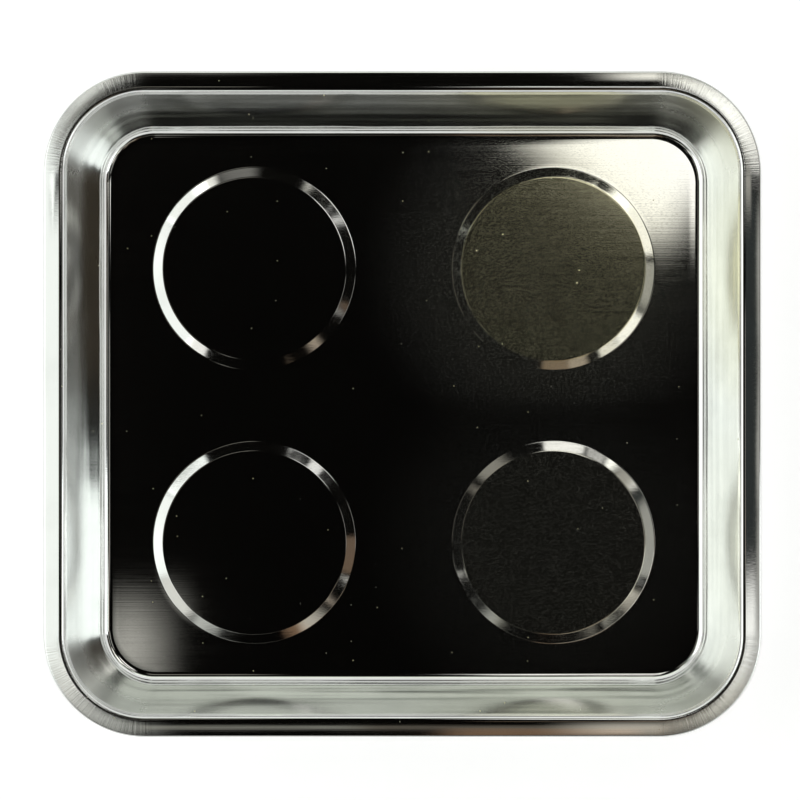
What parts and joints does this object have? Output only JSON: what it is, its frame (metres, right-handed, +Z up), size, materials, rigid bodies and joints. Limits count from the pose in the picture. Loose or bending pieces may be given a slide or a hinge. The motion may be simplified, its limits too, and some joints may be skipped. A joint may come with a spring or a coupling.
{
  "type": "magnetic parts tray",
  "caption": "Pressed stainless tray with raised round magnetic islands and rubber feet, which holds loose steel parts and clings to steel surfaces.",
  "frame": {"origin": "on the ground under the rubber feet, below the middle of the tray", "axes": "+X along the tray's long side, +Y across it to the back, +Z up out of the tray"},
  "size_m": [0.291, 0.27, 0.0431],
  "materials": {
    "stainless_sheet": "polished, with a fine grain along the long side",
    "adhesive": "cured, satin",
    "ferrite": "ground faces, sintered sides",
    "zinc_plated_steel": "bright zinc",
    "black_rubber": "moulded, matt"
  },
  "bodies": {
    "root": {"tray_pan": "stainless_sheet", "magnet_adhesive_front_left": "adhesive", "ring_magnet_front_left": "ferrite", "backing_plate_front_left": "zinc_plated_steel", "rubber_boot_front_left": "black_rubber", "magnet_adhesive_front_right": "adhesive", "ring_magnet_front_right": "ferrite", "backing_plate_front_right": "zinc_plated_steel", "rubber_boot_front_right": "black_rubber", "magnet_adhesive_back_left": "adhesive", "ring_magnet_back_left": "ferrite", "backing_plate_back_left": "zinc_plated_steel", "rubber_boot_back_left": "black_rubber", "magnet_adhesive_back_right": "adhesive", "ring_magnet_back_right": "ferrite", "backing_plate_back_right": "zinc_plated_steel", "rubber_boot_back_right": "black_rubber"}
  },
  "joints": []
}
